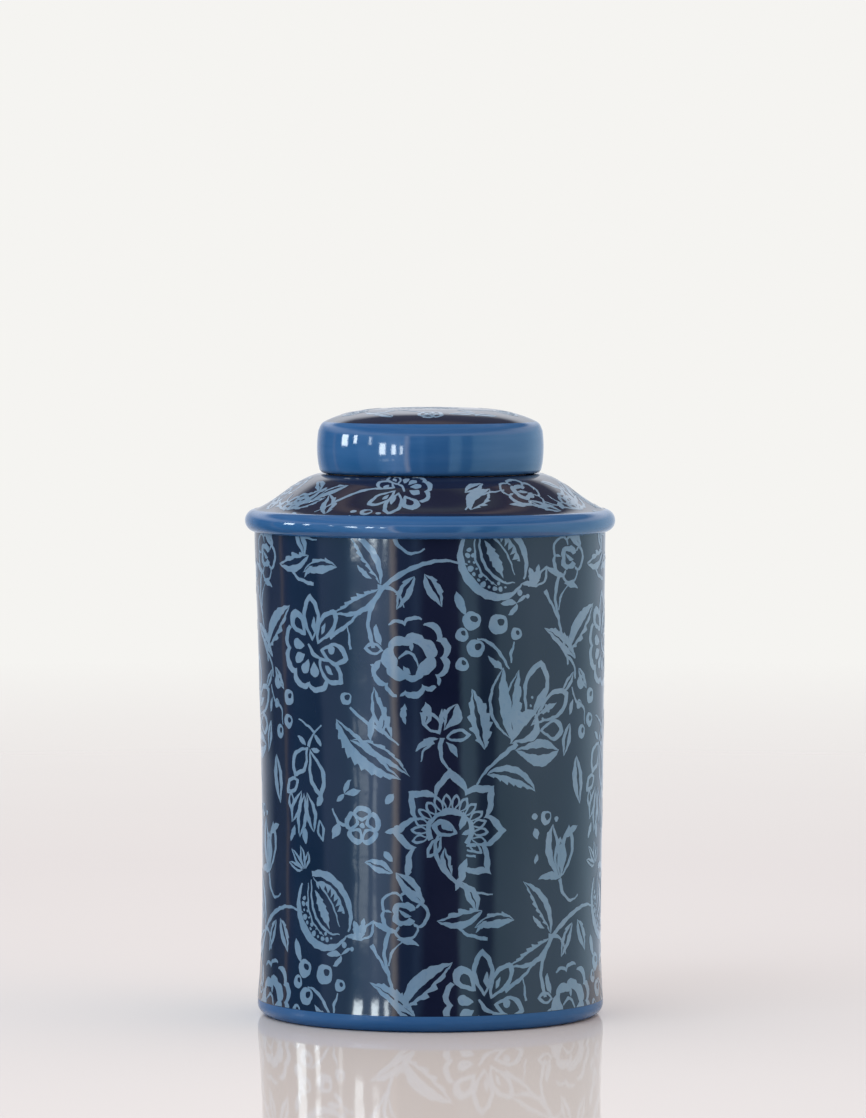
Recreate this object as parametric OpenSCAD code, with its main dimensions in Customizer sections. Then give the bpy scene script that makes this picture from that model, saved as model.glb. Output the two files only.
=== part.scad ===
// Lidded ceramic tea jar, built from its clay pieces: a wall, a floor, a foot ring,
// a sloping shoulder with a rolled bead, a neck, and a cap lid that fits over the neck.
// Millimetres, +Z up. The origin is the centre of the foot, on the table.

/* [Wall] */
// Radius of the wall just under the bead
wall_top_r = 96.3; // [94:0.1:99]
// Radius of the wall at its waist
waist_r = 93.2; // [91:0.1:94]
// Height of the waist above the table
waist_z = 68; // [50:1:100]
// Thickness of the clay wall
wall_t = 6; // [4.5:0.5:7]

/* [Foot] */
// Radius of the foot at its widest
foot_r = 95; // [94:0.1:97]
// Height of the foot ring
foot_h = 9; // [8:0.5:12]
// Radius of the rounded lower edge of the foot
foot_round = 6.5; // [4:0.5:7]
// Width of the unglazed rim that stands on the table
foot_rim_w = 4; // [3:0.5:5]
// Thickness of the floor slab
floor_t = 7; // [5:0.5:9]

/* [Shoulder] */
// Height of the middle of the rolled bead
bead_z = 271.6; // [250:0.1:290]
// Radius of the bead's round section
bead_round = 6.2; // [5:0.1:7]
// How far the bead's centre sits inside the wall's surface
bead_inset = 0.9; // [0.4:0.1:2]
// Rise of the shoulder from the top of the bead to the lid's seat
shoulder_rise = 19.6; // [16:0.1:24]
// Thickness of the shoulder
shoulder_t = 6.5; // [5:0.5:8]

/* [Neck] */
// Outside radius of the neck, which the lid fits over
neck_r = 54.5; // [52:0.1:55]
// Thickness of the neck
neck_t = 5; // [4:0.5:6]
// Height of the neck above the lid's seat
neck_h = 16.5; // [12:0.5:17]

/* [Lid] */
// Radius of the lid at its fullest
lid_r = 62.2; // [61:0.1:66]
// Height of the lid's side, up to the edge of the domed top
lid_side_h = 28.3; // [26:0.1:32]
// Radius of the domed top panel
panel_r = 58; // [56.5:0.1:58.5]
// Rise of the dome over its edge
dome_rise = 7.3; // [5:0.1:10]
// Thickness of the lid's side
lid_t = 5; // [4:0.5:5.5]
// Thickness of the domed top
dome_t = 5; // [4:0.5:6]
// Gap between the lid's rim and the seat it rests on
seat_gap = 0.3; // [0.3:0.1:0.5]

/* [Hidden] */
$fn = 128;

navy = [0.07, 0.09, 0.20];
mid_blue = [0.19, 0.37, 0.60];
bare_clay = [0.86, 0.83, 0.77];

floor_z = foot_h;                              // underside of the floor slab
bead_foot_z = bead_z - bead_round;             // where the wall runs into the bead
shoulder_z = bead_z + bead_round - 0.2;        // where the shoulder rises out of the bead
seat_z = shoulder_z + shoulder_rise;           // flat seat under the lid's rim
seat_w = 6.5;                                  // width of that seat
cavity_r = waist_r - wall_t;                   // bore of the wall up to the waist
neck_foot_z = seat_z - shoulder_t;             // the neck grows out of the shoulder's underside
neck_top_z = seat_z + neck_h;
lip_round = 2;                                 // rounded edges of the neck's lip
lid_z = seat_z + seat_gap;                     // underside of the lid's rim
lid_edge_z = lid_z + lid_side_h;               // where the side meets the domed top
lid_bore_r = lid_r - lid_t;
ledge_z = lid_edge_z - dome_t;                 // underside of the top panel's edge

// Points along an arc about [x, z], from angle a0 to angle a1
function arc(x, z, r, a0, a1, n = 8) =
    [for (i = [0 : n]) let (a = a0 + (a1 - a0) * i / n) [x + r * cos(a), z + r * sin(a)]];

// Outside radius of the wall: a quick flare below the waist, a long slow one above it
function flare(z) = pow(max(0, waist_z - z) / (waist_z - foot_h), 3);
function spread(z) = pow(max(0, min(z, bead_foot_z) - waist_z) / (bead_foot_z - waist_z), 1.35);
function wall_r(z) =
    waist_r + (foot_r - waist_r) * flare(z) + (wall_top_r - waist_r) * spread(z);

// Height of the shoulder's outside at radius r: a soft S from the seat down to the bead
seat_edge_r = neck_r + seat_w;
function slope(r) = pow(max(0, r - seat_edge_r) / (wall_top_r - seat_edge_r), 1.1);
function shoulder_top(r) =
    let (u = slope(r)) seat_z - shoulder_rise * (u + 3 * u * u - 2 * u * u * u) / 2;

// The upright clay wall, thicker towards the foot
module wall() {
    steps = 20;
    outside = [for (i = [0 : steps]) let (z = foot_h + (bead_foot_z - foot_h) * i / steps)
        [wall_r(z), z]];
    inside = [for (i = [steps : -1 : 0]) let (z = waist_z + (bead_foot_z - waist_z) * i / steps)
        [wall_r(z) - wall_t, z]];
    color(navy) rotate_extrude() polygon(concat(
        outside, [[wall_top_r, bead_z], [wall_top_r - wall_t, bead_z]], inside, [[cavity_r, foot_h]]));
}

// The slab that closes the bottom, luted inside the wall and over the foot ring
module floor() {
    color(bare_clay) translate([0, 0, floor_z]) cylinder(h = floor_t, r = cavity_r);
}

// The glazed foot, rounded below, standing on a narrow bare rim
module foot_ring() {
    rim_r = foot_r - foot_round;
    color(mid_blue) rotate_extrude() polygon(concat(
        [[rim_r - foot_rim_w, 0]],
        arc(rim_r, foot_round, foot_round, -90, 0),
        [[foot_r, foot_h], [cavity_r - wall_t, foot_h], [rim_r - foot_rim_w - 1, 1]]));
}

// The sloping shoulder, from the bead up to the flat seat round the neck
module shoulder() {
    steps = 14;
    inner_r = wall_top_r - wall_t;
    top = [for (i = [0 : steps]) let (r = wall_top_r + (seat_edge_r - wall_top_r) * i / steps)
        [r, shoulder_top(r)]];
    under = [for (i = [0 : steps]) let (r = neck_r + (inner_r - neck_r) * i / steps)
        [r, shoulder_top(r) - shoulder_t]];
    color(navy) rotate_extrude() polygon(concat(
        [[wall_top_r, bead_z]], top, [[neck_r, seat_z]], under, [[inner_r, bead_z]]));
}

// The rolled bead luted round the join of the wall and the shoulder
module shoulder_bead() {
    color(mid_blue) rotate_extrude() difference() {
        translate([wall_top_r - bead_inset, bead_z]) circle(r = bead_round);
        translate([0, bead_z - 2 * bead_round]) square([wall_top_r, 4 * bead_round]);
    }
}

// The upright neck that the lid fits over
module neck() {
    inner = neck_r - neck_t;
    color(bare_clay) rotate_extrude() polygon(concat(
        [[inner, neck_foot_z], [neck_r, neck_foot_z]],
        arc(neck_r - lip_round, neck_top_z - lip_round, lip_round, 0, 90),
        arc(inner + lip_round, neck_top_z - lip_round, lip_round, 90, 180)));
}

// Height of the lid's top at radius r: nearly flat in the middle, falling away towards its edge
function dome(r) = lid_edge_z + dome_rise * (1 - pow(r / panel_r, 4));

// The pillowed side of the cap lid, with its top and bottom edges tucked in
module lid_side() {
    bulge = 62;                                // radius of the side's gentle outward curve
    reach = 8.5;                               // half angle of that curve
    tuck = 3.2;                                // radius of the lower edge
    tuck_in = 1.1;                             // how far the lower edge sits inside the bulge
    corner = 5.4;                              // radius of the upper edge
    corner_end = 64;                           // where that edge meets the domed top
    middle = (lid_z + lid_edge_z) / 2;
    color(mid_blue) rotate_extrude() polygon(concat(
        [[lid_bore_r, lid_z]],
        arc(lid_r - tuck - tuck_in, lid_z + tuck, tuck, -90, -reach - 14, 5),
        arc(lid_r - bulge, middle, bulge, -reach, reach, 10),
        arc(panel_r - corner * cos(corner_end), lid_edge_z - corner * sin(corner_end),
            corner, reach + 8, corner_end, 6),
        [[panel_r, ledge_z], [lid_bore_r, ledge_z]]));
}

// The domed top of the lid, luted inside the top edge of its side
module lid_top() {
    rest_w = 3;                                // flat margin that sits on the side's ledge
    inside_r = panel_r - rest_w;
    n = 28;                                    // points from the middle to the edge
    color(navy) rotate_extrude() polygon(concat(
        [for (i = [0 : n]) [panel_r * i / n, dome(panel_r * i / n)]],
        [[panel_r, ledge_z], [inside_r, ledge_z]],
        [for (i = [n : -1 : 0]) [inside_r * i / n, dome(inside_r * i / n) - dome_t]]));
}

wall();
floor();
foot_ring();
shoulder();
shoulder_bead();
neck();
lid_side();
lid_top();
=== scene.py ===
import math

import bmesh
import bpy
import numpy as np
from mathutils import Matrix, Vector


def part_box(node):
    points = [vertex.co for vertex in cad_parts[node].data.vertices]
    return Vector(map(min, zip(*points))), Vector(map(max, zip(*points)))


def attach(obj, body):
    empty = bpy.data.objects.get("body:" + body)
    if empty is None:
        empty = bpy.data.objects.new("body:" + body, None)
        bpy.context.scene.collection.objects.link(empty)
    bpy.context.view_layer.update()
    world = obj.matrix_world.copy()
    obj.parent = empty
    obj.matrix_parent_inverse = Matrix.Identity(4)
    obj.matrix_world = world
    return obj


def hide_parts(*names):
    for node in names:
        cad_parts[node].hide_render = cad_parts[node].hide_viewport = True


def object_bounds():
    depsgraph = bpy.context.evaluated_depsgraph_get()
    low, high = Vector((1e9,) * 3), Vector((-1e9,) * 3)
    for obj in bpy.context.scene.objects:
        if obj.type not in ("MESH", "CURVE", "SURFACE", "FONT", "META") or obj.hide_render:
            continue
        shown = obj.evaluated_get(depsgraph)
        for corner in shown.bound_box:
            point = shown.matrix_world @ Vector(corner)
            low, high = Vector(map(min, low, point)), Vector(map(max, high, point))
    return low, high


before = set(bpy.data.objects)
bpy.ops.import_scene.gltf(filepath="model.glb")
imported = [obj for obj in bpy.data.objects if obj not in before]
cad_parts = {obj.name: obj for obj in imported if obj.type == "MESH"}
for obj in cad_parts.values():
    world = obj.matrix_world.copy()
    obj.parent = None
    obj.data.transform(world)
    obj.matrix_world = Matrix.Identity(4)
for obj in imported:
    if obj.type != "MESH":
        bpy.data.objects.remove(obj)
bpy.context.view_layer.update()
scene = bpy.context.scene
mm = 0.001
print("frame loaded:", ", ".join(sorted(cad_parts)))


# One socket of a node tree, so that shader maths reads as an expression.
class Wire:
    def __init__(self, tree, socket):
        self.tree = tree
        self.socket = socket

    def maths(self, operation, *others, turned=False, clamp=False):
        node = self.tree.nodes.new("ShaderNodeMath")
        node.operation = operation
        node.use_clamp = clamp
        terms = [*others, self] if turned else [self, *others]
        for slot, term in zip(node.inputs, terms):
            if isinstance(term, Wire):
                self.tree.links.new(term.socket, slot)
            else:
                slot.default_value = term
        return Wire(self.tree, node.outputs[0])

    def __add__(self, other):
        return self.maths("ADD", other)

    def __sub__(self, other):
        return self.maths("SUBTRACT", other)

    def __rsub__(self, other):
        return self.maths("SUBTRACT", other, turned=True)

    def __mul__(self, other):
        return self.maths("MULTIPLY", other)

    def __truediv__(self, other):
        return self.maths("DIVIDE", other)

    def __rtruediv__(self, other):
        return self.maths("DIVIDE", other, turned=True)

    __radd__ = __add__
    __rmul__ = __mul__

    # 0 up to low, 1 from high on, and a straight slope between
    def ramp(self, low, high):
        return ((self - low) / (high - low)).maths("ADD", 0.0, clamp=True)


# A material or a world, with one method that adds any node to it.
class Recipe:
    def __init__(self, owner):
        owner.use_nodes = True
        self.owner = owner
        self.tree = owner.node_tree
        self.tree.nodes.clear()

    # the node's type, its settings, then the values or wires of its sockets; one output comes back
    def add(self, kind, settings={}, sockets={}, output=0):
        node = self.tree.nodes.new("ShaderNode" + kind)
        for name, value in settings.items():
            if name == "stops":
                self.fillStops(node.color_ramp, value)
            else:
                setattr(node, name, value)
        for name, value in sockets.items():
            if isinstance(value, Wire):
                self.tree.links.new(value.socket, node.inputs[name])
            else:
                node.inputs[name].default_value = value
        return Wire(self.tree, node.outputs[output]) if len(node.outputs) else node

    def fillStops(self, ramp, stops):
        while len(ramp.elements) < len(stops):
            ramp.elements.new(1.0)
        for element, (place, colour) in zip(ramp.elements, stops):
            element.position = place
            element.color = (*colour, 1)

    def blend(self, share, first, second):
        sides = [side if isinstance(side, Wire) else (*side, 1) for side in (first, second)]
        return self.add("Mix", {"data_type": "RGBA"}, {0: share, 6: sides[0], 7: sides[1]}, output=2)

    def axes(self, place):
        apart = self.add("SeparateXYZ", {}, {"Vector": place})
        return [Wire(self.tree, socket) for socket in apart.socket.node.outputs]

    def noise(self, place, scale, detail=2.0):
        return self.add("TexNoise", {}, {"Vector": place, "Scale": scale, "Detail": detail})

    # patches of 0 and 1, with soft edges where the noise is between low and high
    def patches(self, place, scale, detail, low, high):
        return self.noise(place, scale, detail).ramp(low, high)


def shade(colour, share):
    return [share * c for c in colour]


# A long lens stands well back, a little above the jar and tipped slightly down.
camera = {
    "distance": 3.8,        # metres from the jar's axis
    "height": 0.440,        # above the table
    "aside": 0.0011,        # to the right of the jar's axis
    "tip": 2.86,            # degrees below level
    "lens": 223.4,          # mm, on the sensor below
    "sensor": 36.0,         # mm, the picture's tall side
}


def makeCamera():
    lens = bpy.data.cameras.new("camera")
    lens.sensor_fit = "VERTICAL"
    lens.sensor_height = camera["sensor"]
    lens.lens = camera["lens"]
    eye = bpy.data.objects.new("camera", lens)
    eye.location = (camera["aside"], -camera["distance"], camera["height"])
    eye.rotation_euler = (math.radians(90 - camera["tip"]), 0, 0)
    scene.collection.objects.link(eye)
    scene.camera = eye
    scene.view_settings.view_transform = "Standard"


# The room that the glaze mirrors: a bearing in degrees, then the colour of the room there. 0 is the
# camera's side, and bearings grow towards the right-hand side of the room.
room = {
    "walls": [
        (-180, (0.80, 0.84, 0.92)), (-156, (0.56, 0.62, 0.72)), (-143, (0.28, 0.37, 0.48)),
        (-133, (0.06, 0.12, 0.20)), (-118, (0.12, 0.22, 0.34)), (-116, (0.55, 0.50, 0.46)),
        (-113, (0.08, 0.18, 0.34)), (-104, (0.04, 0.22, 0.42)), (-81, (0.04, 0.26, 0.48)),
        (-77, (0.32, 0.60, 0.96)), (-58, (0.30, 0.66, 1.00)), (-53, (0.50, 1.05, 1.60)),
        (-38, (1.00, 1.55, 2.30)), (-28, (0.80, 1.30, 1.90)), (-25, (2.90, 2.70, 2.50)),
        (-21, (0.06, 0.18, 0.34)), (-14, (0.07, 0.20, 0.36)), (-10, (0.20, 0.42, 0.70)),
        (-4, (0.01, 0.02, 0.03)), (17, (0.01, 0.02, 0.03)), (21, (0.56, 1.00, 1.20)),
        (29, (0.52, 0.92, 1.08)), (33, (0.06, 0.19, 0.22)), (41, (0.06, 0.19, 0.22)),
        (46, (0.53, 0.94, 1.07)), (72, (0.76, 1.18, 1.38)), (108, (0.56, 0.88, 1.06)),
        (132, (0.66, 0.94, 1.12)), (156, (0.62, 0.74, 0.88)), (180, (0.80, 0.84, 0.92)),
    ],
    # overhead, by how steep a direction is: a pale frieze, then a dark ceiling with two faint beams
    "overhead": [
        (0.40, (1.15, 1.20, 1.30)), (0.50, (0.13, 0.14, 0.17)), (0.70, (0.15, 0.14, 0.15)),
        (0.78, (0.52, 0.42, 0.36)), (0.83, (0.16, 0.14, 0.15)), (0.90, (0.34, 0.38, 0.34)),
        (0.94, (0.12, 0.12, 0.14)),
    ],
    "ceiling": (0.17, 0.32),         # between these steepnesses the walls turn to frieze
    "seen": (0.913, 0.905, 0.880),   # the backdrop, as the camera sees it
    # the soft light on matt colours, by bearing: weakest from the camera's side, warmer from the right
    "fill": [
        (-180, (1.25, 1.12, 1.05)), (-80, (1.62, 1.38, 1.30)), (-14, (0.20, 0.32, 0.42)),
        (14, (0.20, 0.32, 0.42)), (75, (2.05, 1.48, 1.20)), (180, (1.25, 1.12, 1.05)),
    ],
}


def makeRoom():
    world = bpy.data.worlds.new("room")
    scene.world = world
    r = Recipe(world)
    x, y, z = r.axes(r.add("TexCoord"))
    bearing = x.maths("ARCTAN2", y * -1.0) / (2 * math.pi) + 0.5
    brightest = max(max(colour) for _, colour in room["walls"])

    def round360(stops, unit):
        return [(degrees / 360 + 0.5, shade(colour, 1 / unit)) for degrees, colour in stops]

    walls = r.add("ValToRGB", {"stops": round360(room["walls"], brightest)}, {"Fac": bearing})
    overhead = [(steepness, shade(colour, 1 / brightest)) for steepness, colour in room["overhead"]]
    above = r.add("ValToRGB", {"stops": overhead}, {"Fac": z})
    colour = r.blend(z.ramp(*room["ceiling"]), walls, above)
    mirrored = r.add("Background", {}, {"Color": colour, "Strength": brightest})
    strongest = max(max(colour) for _, colour in room["fill"])
    soft = r.add("ValToRGB", {"stops": round360(room["fill"], strongest)}, {"Fac": bearing})
    filled = r.add("Background", {}, {"Color": soft, "Strength": strongest})
    seen = r.add("Background", {}, {"Color": (*room["seen"], 1)})
    path = r.add("LightPath").socket.node
    lit = r.add("MixShader", {}, {0: Wire(r.tree, path.outputs["Is Glossy Ray"]), 1: filled, 2: mirrored})
    both = r.add("MixShader", {}, {0: Wire(r.tree, path.outputs["Is Camera Ray"]), 1: lit, 2: seen})
    r.add("OutputWorld", {}, {"Surface": both})


# One large soft light above and to the left, and a row of window panes that only the glaze sees.
lights = {
    "key": {"bearing": -40, "height": 2.6, "distance": 2.6, "size": 2.4, "power": 46},
    "paneDistance": 2.6,
    "paneColour": (0.86, 0.96, 1.0),
    # bearing, width, the heights above the table of each pane's lower and upper edge, and its radiance
    "panes": [
        (-97, 0.40, 0.36, 0.80, 15), (-82, 0.20, 0.46, 0.80, 18), (-63, 0.14, 0.47, 0.75, 9),
        (-49, 0.30, 0.09, 0.55, 18), (-37, 0.20, 0.09, 0.50, 18), (-29.5, 0.12, 0.09, 0.46, 14),
        (-52, 0.10, -0.20, -0.14, 2.6), (-46, 0.30, -0.225, -0.125, 2.2), (-38, 0.12, -0.19, -0.13, 2.8),
    ],
}


def areaLight(name, place, aim, width, height, power):
    data = bpy.data.lights.new(name, "AREA")
    data.shape = "RECTANGLE"
    data.size = width
    data.size_y = height
    data.energy = power
    lamp = bpy.data.objects.new(name, data)
    lamp.location = place
    toward = aim - place
    lamp.rotation_euler = toward.to_track_quat("-Z", "Y").to_euler()
    scene.collection.objects.link(lamp)
    return lamp


def makeLights():
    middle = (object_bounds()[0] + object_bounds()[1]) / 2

    def standing(degrees, distance, height):
        turn = math.radians(degrees)
        return middle + Vector((math.sin(turn) * distance, -math.cos(turn) * distance, height - middle.z))

    soft = lights["key"]
    place = standing(soft["bearing"], soft["distance"], soft["height"])
    areaLight("key", place, middle, soft["size"], soft["size"], soft["power"]).visible_glossy = False
    for number, (degrees, width, low, high, radiance) in enumerate(lights["panes"]):
        height = (low + high) / 2
        power = radiance * math.pi * width * (high - low)
        place = standing(degrees, lights["paneDistance"], height)
        pane = areaLight(f"pane{number}", place, standing(0, 0, height), width, high - low, power)
        pane.data.color = lights["paneColour"]
        pane.visible_diffuse = False
        pane.visible_camera = False


# A pale lacquered floor. The outer part isn't mirrored by the glaze, and fades into the backdrop.
floor = {
    "near": 0.34,                      # radius that the glaze mirrors
    "far": 3.4,
    "fade": (0.9, 3.0),                # the floor turns to backdrop between these radii
    "colour": (0.60, 0.615, 0.615),
    "gloss": 0.34,                     # share of light that the lacquer mirrors
    "roughness": 0.025,
    "cloud": 3.0,                      # scale of its faint clouds
    "cloudShade": 0.97,
    "segments": 96,
}


def floorPaint():
    material = bpy.data.materials.new("floorLacquer")
    r = Recipe(material)
    place = r.add("TexCoord", output=3)
    x, y, z = r.axes(place)
    away = (x * x + y * y).maths("SQRT")
    darker = shade(floor["colour"], floor["cloudShade"])
    colour = r.blend(r.noise(place, floor["cloud"]), floor["colour"], darker)
    matt = r.add("BsdfDiffuse", {}, {"Color": colour})
    gloss = r.add("BsdfGlossy", {}, {"Color": (1, 1, 1, 1), "Roughness": floor["roughness"]})
    lacquer = r.add("MixShader", {}, {0: floor["gloss"], 1: matt, 2: gloss})
    gone = r.add("BsdfTransparent")
    faded = r.add("MixShader", {}, {0: away.ramp(*floor["fade"]), 1: lacquer, 2: gone})
    r.add("OutputMaterial", {}, {"Surface": faded})
    return material


def makeFloor():
    paint = floorPaint()
    segments = floor["segments"]
    turn = np.linspace(0, 2 * math.pi, segments, endpoint=False)
    k = np.arange(segments)
    after = (k + 1) % segments
    for name, inner, outer in (("floorNear", 0.0, floor["near"]), ("floorFar", floor["near"], floor["far"])):
        radii = np.array([max(inner, mm), outer])
        around = np.exp(1j * turn)[None, :] * radii[:, None]
        points = np.stack([around.real, around.imag, np.zeros(around.shape)], -1).reshape(-1, 3)
        faces = np.stack([k, after, after + segments, k + segments], 1)[:, ::-1].tolist()
        if inner == 0.0:
            faces.append(k.tolist())
        mesh = bpy.data.meshes.new(name)
        mesh.from_pydata(points.tolist(), [], faces)
        mesh.materials.append(paint)
        sheet = bpy.data.objects.new(name, mesh)
        scene.collection.objects.link(sheet)
        sheet.visible_glossy = inner == 0.0


makeCamera()
makeRoom()
makeLights()
makeFloor()
print("camera, room, lights and floor ready")


# The colours of the glazes and the clay.
glaze = {
    "navyThin": (0.0110, 0.0150, 0.0390),
    "navyThick": (0.0050, 0.0080, 0.0270),
    "print": (0.128, 0.230, 0.345),
    "printPale": (0.172, 0.272, 0.385),
    "blueThick": (0.018, 0.092, 0.252),
    "blueThin": (0.036, 0.122, 0.298),
    "cream": (0.74, 0.72, 0.66),
    "clay": (0.66, 0.60, 0.51),
}


# How the colours lie: a noise's scale and detail, then the two values between which it turns from one
# colour to the other.
pattern = {
    "navy": (14.0, 4.0, 0.35, 0.68),
    "print": (40.0, 3.0, 0.30, 0.72),
    "printGrain": (520.0, 2.0, 0.55, 0.78),
    "grainShare": 0.25,
    "brushed": (2.2, 4.0, 0.30, 0.70),
    "brushStretch": (8.0, 8.0, 70.0),
    "cream": (25.0, 4.0),
    "creamShade": 0.90,
    "wear": (45.0, 3.0),                 # the roughness varies with this one
}

# The bump that all the glazes share: long ripples, a fine orange-peel skin and a few pinholes. Depths
# are in millimetres.
skin = {
    "ripple": (30.0, 1.0), "rippleDepth": 0.30,
    "peel": (120.0, 2.0), "peelDepth": 0.040,
    "pitScale": 95.0, "pitSize": 0.035, "pitDepth": 0.03,
}


def glazeBump(r, place, ripple=1.0):
    waves = r.noise(place, *skin["ripple"]) * (skin["rippleDepth"] * mm * ripple)
    peel = r.noise(place, *skin["peel"]) * (skin["peelDepth"] * mm * ripple)
    cells = r.add("TexVoronoi", {}, {"Vector": place, "Scale": skin["pitScale"]})
    pits = (1.0 - cells.ramp(0.0, skin["pitSize"])) * (skin["pitDepth"] * mm)
    return r.add("Bump", {}, {"Height": waves + peel - pits, "Distance": 1.0, "Strength": 1.0})


def glazed(name, colourOf, roughness=0.05, spread=0.05, ripple=1.0, ior=1.5):
    material = bpy.data.materials.new(name)
    r = Recipe(material)
    place = r.add("TexCoord", output=3)
    r.add("OutputMaterial", {}, {"Surface": r.add("BsdfPrincipled", {}, {
        "Base Color": colourOf(r, place),
        "Roughness": r.noise(place, *pattern["wear"]) * spread + roughness,
        "Normal": glazeBump(r, place, ripple),
        "IOR": ior,
    })})
    return material


# The pale lining: what is nearer to the axis than the middle of the wall's clay, and lower than the
# middle of the shoulder's clay, which is a straight line from its foot.
lining = {"wall": 91.7, "shoulderFoot": (96.3, 274.4), "rise": 0.555, "blur": 0.2}


def navyColour(r, place):
    x, y, z = r.axes(place)
    away = (x * x + y * y).maths("SQRT") / mm
    foot, height = lining["shoulderFoot"]
    shoulderLine = (height - z / mm) / lining["rise"] + foot
    depth = shoulderLine.maths("MINIMUM", lining["wall"]) - away
    navy = r.blend(r.patches(place, *pattern["navy"]), glaze["navyThick"], glaze["navyThin"])
    return r.blend(depth.ramp(0.0, lining["blur"]), navy, creamColour(r, place))


def printColour(r, place):
    inked = r.blend(r.patches(place, *pattern["print"]), glaze["print"], glaze["printPale"])
    grain = r.patches(place, *pattern["printGrain"]) * pattern["grainShare"]
    return r.blend(grain, inked, glaze["blueThin"])


# Brushed on while the jar turned, so its streaks run round it.
def blueColour(r, place):
    along = r.add("Mapping", {}, {"Vector": place, "Scale": pattern["brushStretch"]})
    return r.blend(r.patches(along, *pattern["brushed"]), glaze["blueThick"], glaze["blueThin"])


def creamColour(r, place):
    darker = shade(glaze["cream"], pattern["creamShade"])
    return r.blend(r.noise(place, *pattern["cream"]), glaze["cream"], darker)


# Unglazed clay: faint clouds, dark specks and a sandy grain.
bare = {
    "clouds": (60.0, 4.0), "cloudShade": 0.86,
    "specks": (900.0, 2.0, 0.63, 0.70), "speckShade": 0.45, "speckShare": 0.5,
    "sand": (1500.0, 3.0), "sandDepth": 0.08,
    "roughness": 0.85,
}


def bareClay():
    material = bpy.data.materials.new("bareClay")
    r = Recipe(material)
    place = r.add("TexCoord", output=3)
    cloud = r.blend(r.noise(place, *bare["clouds"]), glaze["clay"], shade(glaze["clay"], bare["cloudShade"]))
    specks = r.patches(place, *bare["specks"]) * bare["speckShare"]
    grain = r.noise(place, *bare["sand"]) * (bare["sandDepth"] * mm)
    r.add("OutputMaterial", {}, {"Surface": r.add("BsdfPrincipled", {}, {
        "Base Color": r.blend(specks, cloud, shade(glaze["clay"], bare["speckShade"])),
        "Roughness": bare["roughness"],
        "Normal": r.add("Bump", {}, {"Height": grain, "Distance": 1.0}),
    })})
    return material


navyGlaze = glazed("navyGlaze", navyColour)
printGlaze = glazed("printGlaze", printColour)
blueGlaze = glazed("blueGlaze", blueColour, ripple=0.8)
footGlaze = glazed("footGlaze", blueColour, roughness=0.20, ior=1.25)      # wiped thin, so only satin
innerGlaze = glazed("innerGlaze", creamColour, roughness=0.12)
clay = bareClay()
print("glazes ready")


# All sizes are in millimetres. A jar made by hand isn't quite round or upright, so every piece of its
# body shares the same small errors.
handmade = {
    "wander": 0.55, "wanderPitch": 320.0, "wanderFrom": 50.0,      # the axis leans to and fro going up
    "oval": 0.22, "ovalTurn": 0.6,
    "threeSided": 0.13, "threeTurn": 1.9, "threePitch": 90.0,
    "ring": 0.035, "ringPitch": 27.0,                             # the potter's fingers
    "steady": 20.0,                                               # errors shrink away inside this radius
}
waist = {"radius": 93.2, "height": 68.0, "foot": 95.0, "top": 96.3, "belly": 1.35, "flare": 3, "clay": 6.0}
turning = {
    "segments": 256,
    "step": 2.0, "fineStep": 1.6, "coarseStep": 8.0,
    "wobble": {"jar": 1.0, "lid": 0.6},      # each body's share of the errors
    "sharp": 38,                             # degrees from which an edge looks sharp
    "weld": 0.0008,                          # points this near to one another become one
}


# How far a point of the jar is out of true: x shifts by a slow sine of the height, and the radius by
# two and three waves round the jar and short rings up it.
def untrue(angle, height, share):
    climb = (height - handmade["wanderFrom"]) / handmade["wanderPitch"]
    shift = handmade["wander"] * np.sin(2 * math.pi * climb)
    drift = handmade["threeTurn"] + height / handmade["threePitch"]
    swell = (handmade["oval"] * np.sin(2 * angle + handmade["ovalTurn"])
             + handmade["threeSided"] * np.sin(3 * angle + drift)
             + handmade["ring"] * np.sin(2 * math.pi * height / handmade["ringPitch"] + angle))
    return shift * share, swell * share


# A point round the axis. The angle is 0 at the front and grows to the right; the result is in metres.
def turned(radius, angle, height, share=1.0):
    shift, swell = untrue(angle, height, share)
    swell = swell * np.minimum(radius / handmade["steady"], 1)
    x = (radius + swell) * np.sin(angle) + shift
    y = -(radius + swell) * np.cos(angle)
    return np.stack([x, y, height + 0 * x], -1) * mm


def arc(centre, radius, start, stop, count=12):
    turn = np.radians(np.linspace(start, stop, count))
    return np.stack([centre[0] + radius * np.cos(turn), centre[1] + radius * np.sin(turn)], 1)


def line(*points):
    return np.array(points, float)


# Puts points along each straight stretch of an outline, about one step apart.
def finer(outline, step):
    closed = np.vstack([outline, outline[:1]])
    rows = []
    for start, stop in zip(closed[:-1], closed[1:]):
        count = max(1, round(np.hypot(*(stop - start)) / step))
        rows.append(start + (stop - start) * (np.arange(count) / count)[:, None])
    return np.vstack(rows)


# A turned piece: a closed outline of radius and height, carried round the axis as a grid of quads.
def lathe(name, node, body, material, outline, step=None):
    outline = finer(outline, step or turning["step"])
    rows, segments = len(outline), turning["segments"]
    angle = np.linspace(0, 2 * math.pi, segments, endpoint=False)
    radius, height = outline[:, 0][:, None], outline[:, 1][:, None]
    points = turned(radius, angle[None, :], height, turning["wobble"][body]).reshape(-1, 3)
    i, j = (k.ravel() for k in np.meshgrid(np.arange(rows), np.arange(segments), indexing="ij"))
    nextRow, nextSegment = (i + 1) % rows, (j + 1) % segments
    faces = np.stack([i * segments + j, i * segments + nextSegment,
                      nextRow * segments + nextSegment, nextRow * segments + j], 1)
    piece = meshPiece(name, points, faces, material)
    piece.data.set_sharp_from_angle(angle=math.radians(turning["sharp"]))
    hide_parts(node)
    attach(piece, body)
    return piece


def meshPiece(name, points, faces, material):
    mesh = bpy.data.meshes.new(name)
    mesh.from_pydata(points.tolist(), [], faces.tolist())
    return tidied(name, mesh, material)


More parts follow.
